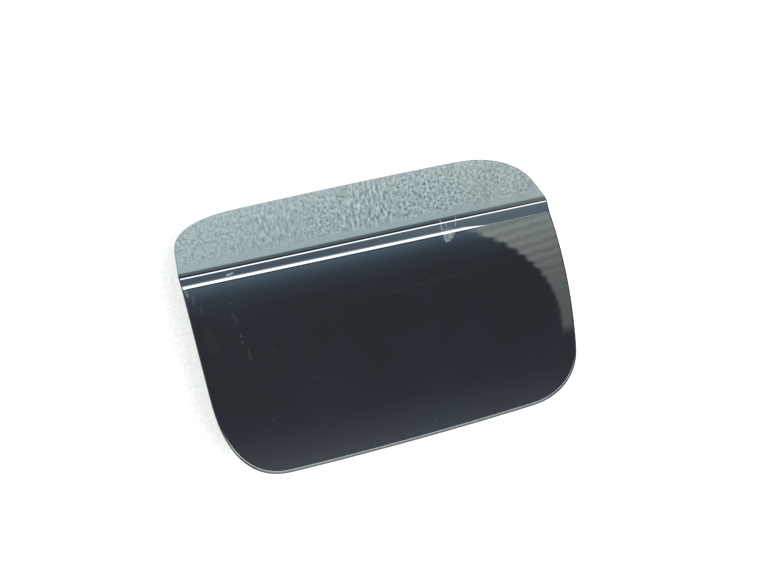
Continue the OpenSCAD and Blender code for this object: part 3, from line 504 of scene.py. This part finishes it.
# Glass-filled nylon, injection moulded: dull black with a spark-eroded grain and pale fibre ends, both
# drawn coarser than the real ones so that they show
filledNylon = {
    "colour": "#121213", "second": "#1a1a1b", "blotchMm": 6.0, "grainMm": 0.35, "grainHeight": 0.02,
    "rough": (0.5, 0.68), "specks": "#3c3c3c", "speckShare": 0.4, "specular": 0.35}
# Acetal, moulded and unfilled: waxy off-white, smooth
whiteAcetal = {
    "colour": "#d3cec0", "second": "#c6c0b1", "blotchMm": 5.0, "grainMm": 0.6, "grainHeight": 0.004,
    "rough": (0.28, 0.36)}
# Zinc-plated steel, clear passivated: pale grey metal with a faint blue and yellow bloom and a fine
# grain, which is drawn coarser than the real one so that it shows
zincPlate = {
    "colour": "#7d8386", "second": "#8a897d", "blotchMm": 4.0, "grainMm": 0.3, "grainHeight": 0.006,
    "rough": (0.3, 0.46), "metallic": 1.0, "specks": "#606465", "speckShare": 0.5}
# Ground steel pin: bright, with fine rings round it, so the pattern is squeezed along its axis. The rings
# are drawn coarser than the real ones so that they show
groundPin = {
    "colour": "#8c8e90", "second": "#7b7e80", "blotchMm": 3.0, "grainMm": 0.6, "grainHeight": 0.004,
    "rough": (0.18, 0.28), "metallic": 1.0, "stretch": (0.2, 8.0, 0.2)}
# Moulded rubber: matte black with a little bloom and dust in its grain
mouldedRubber = {
    "colour": "#0e0e0e", "second": "#161616", "blotchMm": 4.0, "grainMm": 0.4, "grainHeight": 0.02,
    "rough": (0.7, 0.85), "specks": "#2c2b29", "speckShare": 0.4, "specular": 0.3}
# Expanded mastic: soft dark grey drops with a lumpy skin
foamedMastic = {
    "colour": "#27282a", "second": "#303133", "blotchMm": 3.0, "grainMm": 1.1, "grainHeight": 0.12,
    "rough": (0.72, 0.88), "specular": 0.3}
# Hard-drawn spring wire under oil: dark metal with die lines along the wire, 24 round it, which is coarser
# than the real ones so that they show
drawnWire = {
    "colour": "#4d4f52", "second": "#3b3d40", "rough": (0.3, 0.42), "lines": (24, 0.6, 0),
    "lineHeight": 0.006}


def springSteel(d):
    # the die lines run along the wire, so the pattern reads the spring's own UV map
    material, tree = startMaterial("springSteel")
    along = addNode(tree, "UVMap", {"uv_map": "alongWire"})
    lines = addNode(tree, "VectorMath", multiply, [along, d["lines"]])
    streak = addNode(tree, "TexNoise", None, {"Vector": lines, "Scale": 1.0, "Detail": 3.0})
    share = addNode(tree, "MapRange", smooth, [streak, *blotchFade])
    colour = addNode(tree, "Mix", colours, {0: share, 6: hexColour(d["colour"]), 7: hexColour(d["second"])})
    rough = addNode(tree, "MapRange", smooth, [streak, *roughFade, *d["rough"]])
    bump = addNode(tree, "Bump", None, {"Height": streak, "Distance": d["lineHeight"] * mm})
    shader = addNode(tree, "BsdfPrincipled", None, {
        "Base Color": colour, "Metallic": 1.0, "Roughness": rough, "Normal": bump})
    addNode(tree, "OutputMaterial", None, {"Surface": shader})
    return material


def dressNode(name, material):
    # a CAD node keeps its solid and gets another finish in all its slots
    node = cadNodes[name]
    if not node.material_slots:
        node.data.materials.append(material)
    for held in node.material_slots:
        held.material = material


print("materials")
blackPaint = glossBlackPaint(glossPaint)
panelFinish = grainMaterial("electrocoatedSheet", pressedCoat)
armFinish = grainMaterial("electrocoatedArm", armCoat)
nylonFinish = grainMaterial("glassFilledNylon", filledNylon)
acetalFinish = grainMaterial("acetal", whiteAcetal)
zincFinish = grainMaterial("zincPlatedSteel", zincPlate)
pinFinish = grainMaterial("groundSteel", groundPin)
rubberFinish = grainMaterial("mouldedRubber", mouldedRubber)
masticFinish = grainMaterial("foamedMastic", foamedMastic)
wireFinish = springSteel(drawnWire)

finishes = {
    blackPaint: ["outer_skin"],
    panelFinish: ["inner_panel"],
    armFinish: ["hinge_arm"],
    nylonFinish: ["hinge_base", "cap_holder"],
    acetalFinish: ["bush_front", "bush_rear"],
    zincFinish: ["arm_screws", "weld_nuts", "sleeve_front", "sleeve_rear", "pin_clip", "lock_striker",
                 "striker_rivets", "holder_rivets"],
    pinFinish: ["hinge_pin"],
    rubberFinish: ["stop_pad_front", "stop_pad_rear", "buffer_front", "buffer_rear"],
    masticFinish: ["flutter_pad_1", "flutter_pad_2", "flutter_pad_3", "flutter_pad_4"],
    wireFinish: ["torsion_spring"],
}
for finish, names in finishes.items():
    for name in names:
        dressNode(name, finish)

print("skin")
skin = buildSkin(paintedSkin, blackPaint, panelFinish)
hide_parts("outer_skin")
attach(skin, "door")

print("spring")
spring = buildSpring(returnSpring, wireFinish)
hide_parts("torsion_spring")
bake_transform(spring)

print("stage")
# Pale floor: half its side in metres, how far it lies under the door in mm, how brightly the camera and
# gloss see it, and its grain
floorLook = {
    "colour": "#f3f5f5", "halfSide": 3.0, "drop": 0.1, "lift": 0.52, "mirrored": 2.8, "grainMm": 2.2,
    "shade": 0.82}


def buildFloor(d):
    # A plastered surface. The camera sees it a little over-exposed, and gloss sees it bright. From below
    # it isn't seen, so that the underside of the part shows.
    side, low = d["halfSide"] / mm, -d["drop"]
    points = np.array([[-side, -side, low], [side, -side, low], [side, side, low], [-side, side, low]])
    material, tree = startMaterial("paleFloor")
    rays = addNode(tree, "LightPath")
    rough = addNode(tree, "TexNoise", None, {
        "Vector": placeInMm(tree), "Scale": 1 / d["grainMm"], "Detail": 3.0, "Roughness": 0.6})
    share = addNode(tree, "MapRange", smooth, [rough, *blotchFade])
    white = hexColour(d["colour"])
    shade = (*(d["shade"] * part for part in white[:3]), 1)
    colour = addNode(tree, "Mix", colours, {0: share, 6: white, 7: shade})
    diffuse = addNode(tree, "BsdfDiffuse", None, {"Color": colour})
    lift = addNode(tree, "Math", multiply, [rays.outputs["Is Camera Ray"], d["lift"]])
    glow = addNode(tree, "Emission", None, {"Color": white, "Strength": lift})
    seen = addNode(tree, "AddShader", None, [diffuse, glow])
    mirrored = addNode(tree, "Emission", None, {"Color": white, "Strength": d["mirrored"]})
    either = addNode(tree, "MixShader", None, [rays.outputs["Is Glossy Ray"], seen, mirrored])
    under = addNode(tree, "NewGeometry").outputs["Backfacing"]
    oneSided = addNode(tree, "MixShader", None, [under, either, addNode(tree, "BsdfTransparent")])
    addNode(tree, "OutputMaterial", None, {"Surface": oneSided})
    floor = makeMesh("floor", points, np.array([[0, 1, 2, 3]]), [material])


buildFloor(floorLook)

# What gloss reflects, as a studio round the door. The angle runs in the YZ plane from the rear horizon,
# over the top, to the front: a bright wall, a darker wall, a dark ceiling, a long lamp, a mid-tone ceiling.
studioLook = {
    "plain": 0.7,           # what all but gloss gets, from everywhere
    "scale": 40.0,          # the ramps hold light divided by this
    "bands": (
        (0.0, (4.6, 5.4, 5.5)), (4.0, (4.1, 5.1, 5.2)), (6.6, (4.3, 5.4, 5.6)),
        (10.0, (4.9, 6.2, 6.5)), (28.0, (4.9, 6.2, 6.5)), (36.0, (1.9, 2.7, 3.1)),
        (40.0, (1.7, 2.4, 2.8)), (61.0, (1.6, 2.3, 2.75)), (63.4, (1.58, 2.45, 3.1)),
        (63.8, (1.1, 1.6, 2.1)), (64.4, (0.75, 1.0, 1.3)), (65.0, (0.6, 0.8, 1.0)),
        (66.0, (0.5, 0.62, 0.77)), (68.0, (0.45, 0.52, 0.63)), (74.0, (0.46, 0.55, 0.68)),
        (77.0, (0.52, 0.64, 0.79)), (79.4, (0.85, 1.03, 1.25)), (81.2, (1.3, 1.6, 1.8)),
        (82.4, (15.0, 15.6, 15.8)), (84.3, (33.0, 34.0, 34.5)), (86.8, (39.0, 39.6, 40.0)),
        (89.4, (33.0, 34.5, 35.0)), (91.8, (14.0, 15.4, 16.0)), (94.0, (5.0, 6.2, 7.0)),
        (96.4, (2.2, 3.0, 3.6)), (99.0, (1.45, 2.05, 2.6)), (105.0, (1.45, 2.05, 2.6)),
        (112.0, (7.4, 8.4, 8.7)), (136.0, (7.4, 8.4, 8.7)), (152.0, (3.0, 3.3, 3.4)),
        (180.0, (1.8, 2.0, 2.1))),
    # a plain dome beyond the ends of the bands: height and light, brighter at the horizon
    "side": ((0.0, 2.1), (0.05, 1.8), (0.15, 1.15), (0.35, 1.0), (0.7, 0.95), (1.0, 0.8)),
    "sideTint": (0.94, 1.0, 1.0), "sideFade": (0.36, 0.62),
    # the rough wall's grain at the low angles, drawn out into upright streaks between the given places;
    # here and below, four numbers are the range of a value and the two levels that it goes between
    "grain": (300.0, 220.0), "streaks": (330.0, 85.0), "streakShare": 0.7, "streakGain": 1.25,
    "streakPlaces": ((-0.055, -0.03, 0.0, 0.025), (0.045, 0.07, 0.115, 0.14)),
    "grainSwing": (0.3, 0.7, -0.5, 0.5), "grainByX": (-0.02, 0.1, 1.15, 1.95),
    "grainAbove": (6.0, 6.8, 1.0, 0.15), "grainBelow": (1.6, 3.4, 0.55, 1.0),
    "grainEnd": (12.0, 16.0, 1.0, 0.0), "levelByX": (-0.1, 0.3, 1.06, 0.92),
    # a bright wall shows in the rear right of the face: outside a circle of directions, with a rippled edge,
    # darker towards the front
    "wallCentre": (0.1115, 0.29, 0.0), "wallEdge": (0.172, 0.177), "wallFrom": (0.19, 0.225),
    "wallColour": (5.4, 6.1, 6.0), "wallLow": (62.3, 63.9, 0.3, 1.0), "wallHigh": (73.6, 75.0, 1.0, 0.0),
    "wallNear": (0.27, 0.43), "wallCurve": 2.0, "wallLevel": (0.0, 1.0, 0.36, 0.84),
    "ripple": {"Scale": 24.0, "Distortion": 2.0, "Detail": 1.0, "Detail Scale": 6.0},
    "wallRipple": (68.0, 70.5, 1.0, 0.15), "edgeWave": 0.0025, "levelWave": 0.3,
}


def fillRamp(ramp, stops):
    # stops as place from 0 to 1 and linear colour
    held = ramp.color_ramp.elements
    for place, colour in stops[1:-1]:
        held.new(place)
    for stop, (place, colour) in zip(held, stops):
        stop.position = place
        stop.color = (*colour, 1)


def buildStudio(d):
    # Light by direction: the bands times the wall's grain, the bright wall over them, the dome at both
    # ends. Only gloss sees it; the camera sees white, and all else gets an even light.
    world = bpy.data.worlds.new("studio")
    scene.world = world
    world.use_nodes = True
    tree = world.node_tree
    tree.nodes.clear()
    x, y, z = addNode(tree, "SeparateXYZ", None, [addNode(tree, "TexCoord").outputs["Generated"]]).outputs
    radians = addNode(tree, "Math", {"operation": "ARCTAN2"}, [z, y])
    angle = addNode(tree, "Math", multiply, [radians, 1 / math.pi])
    degrees = addNode(tree, "Math", multiply, [angle, 180.0])
    ramp = addNode(tree, "ValToRGB", None, [angle])
    fillRamp(ramp, [(stop / 180, [part / d["scale"] for part in colour]) for stop, colour in d["bands"]])

    def wallGrain(scales):
        # noise over X and the angle, as a swing about zero
        across = addNode(tree, "Math", multiply, [x, scales[0]])
        upward = addNode(tree, "Math", multiply, [radians, scales[1]])
        place = addNode(tree, "CombineXYZ", None, [across, upward])
        grain = addNode(tree, "TexNoise", {"noise_dimensions": "2D"}, {
            "Vector": place, "Scale": 1.0, "Detail": 3.0, "Roughness": 0.85})
        return addNode(tree, "MapRange", None, [grain, *d["grainSwing"]])

    streaked = 0.0
    for start, full, leave, end in d["streakPlaces"]:
        rise = addNode(tree, "MapRange", smooth, [x, start, full])
        drop = addNode(tree, "MapRange", smooth, [x, leave, end, 1.0, 0.0])
        streaked = addNode(tree, "Math", add, [addNode(tree, "Math", multiply, [rise, drop]), streaked])
    streaked = addNode(tree, "Math", multiply, [streaked, d["streakShare"]])
    streaks = addNode(tree, "Math", multiply, [wallGrain(d["streaks"]), d["streakGain"]])
    swing = addNode(tree, "Mix", {"data_type": "FLOAT"}, {0: streaked, 2: wallGrain(d["grain"]), 3: streaks})
    swings = ((degrees, "grainAbove"), (x, "grainByX"), (degrees, "grainBelow"), (degrees, "grainEnd"))
    for value, key in swings:
        part = addNode(tree, "MapRange", smooth, [value, *d[key]])
        swing = addNode(tree, "Math", multiply, [swing, part])
    level = addNode(tree, "Math", add, [swing, 1.0])
    level = addNode(tree, "Math", multiply, [level, addNode(tree, "MapRange", None, [x, *d["levelByX"]])])
    level = addNode(tree, "Math", multiply, [level, d["scale"]])
    bands = addNode(tree, "VectorMath", scaled, {0: ramp, "Scale": level})

    flatRay = addNode(tree, "CombineXYZ", None, [x, y])
    reach = addNode(tree, "VectorMath", {"operation": "DISTANCE"}, [flatRay, d["wallCentre"]])
    ripple = addNode(tree, "TexWave", {"bands_direction": "Y"}, {"Vector": flatRay, **d["ripple"]})
    waves = addNode(tree, "Math", {"operation": "SUBTRACT"}, [ripple.outputs["Fac"], 0.5])
    calmer = addNode(tree, "MapRange", smooth, [degrees, *d["wallRipple"]])
    waves = addNode(tree, "Math", multiply, [waves, calmer])
    edge = addNode(tree, "Math", add, [reach, addNode(tree, "Math", multiply, [waves, d["edgeWave"]])])
    wall = addNode(tree, "MapRange", smooth, [edge, *d["wallEdge"]])
    for value, key in ((x, "wallFrom"), (degrees, "wallLow"), (degrees, "wallHigh")):
        part = addNode(tree, "MapRange", smooth, [value, *d[key]])
        wall = addNode(tree, "Math", multiply, [wall, part])
    near = addNode(tree, "MapRange", None, [y, *d["wallNear"]])
    near = addNode(tree, "Math", {"operation": "POWER"}, [near, d["wallCurve"]])
    level = addNode(tree, "MapRange", None, [near, *d["wallLevel"]])
    shimmer = addNode(tree, "Math", {"operation": "MULTIPLY_ADD"}, [waves, d["levelWave"], 1.0])
    level = addNode(tree, "Math", multiply, [level, shimmer])
    wallLight = addNode(tree, "VectorMath", scaled, {0: d["wallColour"], "Scale": level})
    gloss = addNode(tree, "Mix", colours, {0: wall, 6: bands, 7: wallLight})

    dome = addNode(tree, "ValToRGB", None, [z])
    domeStops = [(stop, [part * light / d["scale"] for part in d["sideTint"]]) for stop, light in d["side"]]
    fillRamp(dome, domeStops)
    domeLight = addNode(tree, "VectorMath", scaled, {0: dome, "Scale": d["scale"]})
    aside = addNode(tree, "Math", {"operation": "ABSOLUTE"}, [x])
    aside = addNode(tree, "MapRange", smooth, [aside, *d["sideFade"]])
    gloss = addNode(tree, "Mix", colours, {0: aside, 6: gloss, 7: domeLight})
    rays = addNode(tree, "LightPath")
    plain = addNode(tree, "Background", None, {"Color": (1, 1, 1, 1), "Strength": d["plain"]})
    mirrored = addNode(tree, "Background", None, {"Color": gloss, "Strength": 1.0})
    white = addNode(tree, "Background", None, {"Color": (1, 1, 1, 1), "Strength": 1.0})
    either = addNode(tree, "MixShader", None, [rays.outputs["Is Glossy Ray"], plain, mirrored])
    every = addNode(tree, "MixShader", None, [rays.outputs["Is Camera Ray"], either, white])
    addNode(tree, "OutputWorld", None, {"Surface": every})


buildStudio(studioLook)

# Soft lamp from the front right, so the shadow falls to the rear left; place and side in metres
keyLight = {"place": (0.5, -0.55, 0.75), "side": 0.5, "power": 8.0}


def buildKey(d):
    # a square lamp that faces the door and doesn't show in gloss
    lamp = bpy.data.lights.new("keyLight", "AREA")
    lamp.shape = "SQUARE"
    lamp.size = d["side"]
    lamp.energy = d["power"]
    holder = bpy.data.objects.new("keyLight", lamp)
    holder.location = d["place"]
    holder.rotation_euler = (-Vector(d["place"])).to_track_quat("-Z", "Y").to_euler()
    holder.visible_glossy = False
    scene.collection.objects.link(holder)


buildKey(keyLight)

# Camera from a fit of the door's outline and crease lines in the photograph: place in mm, angles in
# degrees, and the width of the view as an angle too
photoCamera = {
    "place": (-35.413, -165.602, 396.697), "down": 65.424, "turn": 13.172, "roll": -0.276, "width": 49.0,
    "shift": (-0.00065, 0.00065), "sensor": 36.0, "clip": (0.01, 20.0)}


def buildCamera(d):
    # looks along +Y, turned to the right and tilted down, then rolled about its own line of sight
    down, turn, roll = (math.radians(d[key]) for key in ("down", "turn", "roll"))
    forward = Vector((math.sin(turn) * math.cos(down), math.cos(turn) * math.cos(down), -math.sin(down)))
    level = Vector((math.cos(turn), -math.sin(turn), 0))
    upright = level.cross(forward)
    right = math.cos(roll) * level + math.sin(roll) * upright
    up = -math.sin(roll) * level + math.cos(roll) * upright
    data = bpy.data.cameras.new("photoCamera")
    data.sensor_fit = "HORIZONTAL"
    data.sensor_width = d["sensor"]
    data.lens = d["sensor"] / 2 / math.tan(math.radians(d["width"] / 2))
    data.shift_x, data.shift_y = d["shift"]
    data.clip_start, data.clip_end = d["clip"]
    camera = bpy.data.objects.new("photoCamera", data)
    axes = Matrix((right, up, -forward)).transposed().to_4x4()
    camera.matrix_world = Matrix.Translation(Vector(d["place"]) * mm) @ axes
    scene.collection.objects.link(camera)
    scene.camera = camera


buildCamera(photoCamera)
scene.view_settings.view_transform = "Standard"
